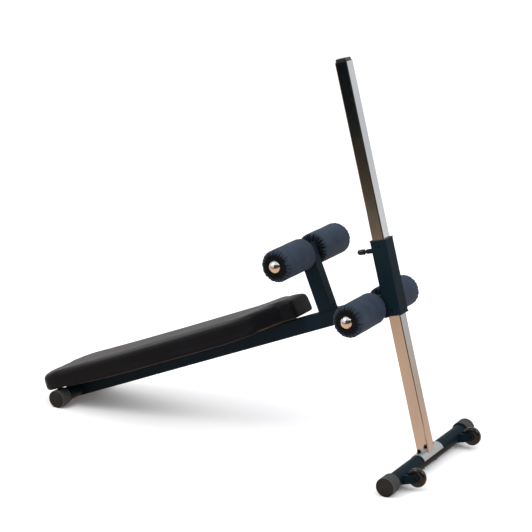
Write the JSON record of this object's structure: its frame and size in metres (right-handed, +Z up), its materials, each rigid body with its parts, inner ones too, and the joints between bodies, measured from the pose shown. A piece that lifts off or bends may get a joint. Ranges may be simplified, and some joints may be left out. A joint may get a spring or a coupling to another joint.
{
  "type": "decline sit-up bench",
  "caption": "Decline sit-up bench: a padded board on a beam whose sleeve slides on a leaning chromed square post, with foam leg rollers, a pull pin and transport wheels.",
  "frame": {"origin": "on the floor, midway along the bench, in its plane of symmetry", "axes": "+X towards the post end, +Y to the bench's left, +Z up"},
  "size_m": [1.7936, 0.715, 1.5074],
  "materials": {
    "frame_paint": "satin blue-black powder coat",
    "post_chrome": "polished chrome plate on square steel tube",
    "saddle_chrome": "brushed chrome plate",
    "dome_chrome": "polished chrome plate",
    "cap_plastic": "moulded black plastic, lightly grained",
    "bush_plastic": "moulded black plastic",
    "black_steel": "black zinc plate",
    "bare_steel": "zinc-plated steel",
    "knob_plastic": "polished black phenolic",
    "roller_cover": "slate-navy coated cloth over foam, gathered at the ends",
    "core_plastic": "plain plastic tube",
    "pad_cover": "black grained leatherette, a coated cloth, over foam",
    "board_wood": "plywood, unfinished",
    "wheel_plastic": "glossy black moulded plastic"
  },
  "bodies": {
    "stand": {"rear_foot_tube": "frame_paint", "rear_foot_cap_left": "cap_plastic", "rear_foot_cap_right": "cap_plastic", "saddle_plate": "saddle_chrome", "saddle_bolts": "black_steel", "saddle_washers": "black_steel", "saddle_nuts": "black_steel", "post": "post_chrome", "post_cap": "cap_plastic", "wheel_fork_left": "frame_paint", "wheel_fork_right": "frame_paint", "wheel_axle_left": "black_steel", "wheel_axle_right": "black_steel", "wheel_nuts": "black_steel"},
    "wheel_left": {"wheel_tyre_left": "wheel_plastic", "wheel_hub_left": "wheel_plastic"},
    "wheel_right": {"wheel_tyre_right": "wheel_plastic", "wheel_hub_right": "wheel_plastic"},
    "upper_roller_left": {"upper_foam_left": "roller_cover", "upper_core_left": "core_plastic"},
    "upper_roller_right": {"upper_foam_right": "roller_cover", "upper_core_right": "core_plastic"},
    "lower_roller_left": {"lower_foam_left": "roller_cover", "lower_core_left": "core_plastic"},
    "lower_roller_right": {"lower_foam_right": "roller_cover", "lower_core_right": "core_plastic"},
    "pull_pin": {"pin_rod": "bare_steel", "pin_knob": "knob_plastic"},
    "carriage": {"arm": "frame_paint", "beam": "frame_paint", "bush_screws": "black_steel", "front_foot_cap_left": "cap_plastic", "front_foot_cap_right": "cap_plastic", "front_foot_tube": "frame_paint", "lower_disc_left": "black_steel", "lower_disc_right": "black_steel", "lower_dome_left": "dome_chrome", "lower_dome_right": "dome_chrome", "lower_roller_tube": "frame_paint", "pad_bars": "frame_paint", "pad_board": "board_wood", "pad_bolts": "black_steel", "pad_cushion": "pad_cover", "pin_barrel": "frame_paint", "pin_spring": "bare_steel", "roller_stops": "black_steel", "sleeve": "frame_paint", "sleeve_bush_lower": "bush_plastic", "sleeve_bush_upper": "bush_plastic", "upper_disc_left": "black_steel", "upper_disc_right": "black_steel", "upper_dome_left": "dome_chrome", "upper_dome_right": "dome_chrome", "upper_roller_tube": "frame_paint"}
  },
  "joints": [
    {"name": "sleeve_slide", "type": "slide", "parent": "stand", "child": "carriage", "axis": [-0.2457, 0, 0.9693], "range_m": [0, 0.6]},
    {"name": "pin_pull", "type": "slide", "parent": "carriage", "child": "pull_pin", "axis": [-0.9693, 0, -0.2457], "range_m": [0, 0.01], "stiffness_N_per_m": 2000, "springref_m": -0.004, "deforming": ["pin_spring"]},
    {"name": "upper_roller_left_spin", "type": "hinge", "parent": "carriage", "child": "upper_roller_left", "pos_m": [0.27229, 0.1425, 0.75706], "axis": [0, 1, 0], "continuous": true},
    {"name": "upper_roller_right_spin", "type": "hinge", "parent": "carriage", "child": "upper_roller_right", "pos_m": [0.27229, -0.1425, 0.75706], "axis": [0, 1, 0], "continuous": true},
    {"name": "lower_roller_left_spin", "type": "hinge", "parent": "carriage", "child": "lower_roller_left", "pos_m": [0.56872, 0.1425, 0.59055], "axis": [0, 1, 0], "continuous": true},
    {"name": "lower_roller_right_spin", "type": "hinge", "parent": "carriage", "child": "lower_roller_right", "pos_m": [0.56872, -0.1425, 0.59055], "axis": [0, 1, 0], "continuous": true},
    {"name": "wheel_left_spin", "type": "hinge", "parent": "stand", "child": "wheel_left", "pos_m": [0.8608, 0.2435, 0.0494], "axis": [0, 1, 0], "continuous": true},
    {"name": "wheel_right_spin", "type": "hinge", "parent": "stand", "child": "wheel_right", "pos_m": [0.8608, -0.2435, 0.0494], "axis": [0, 1, 0], "continuous": true}
  ]
}
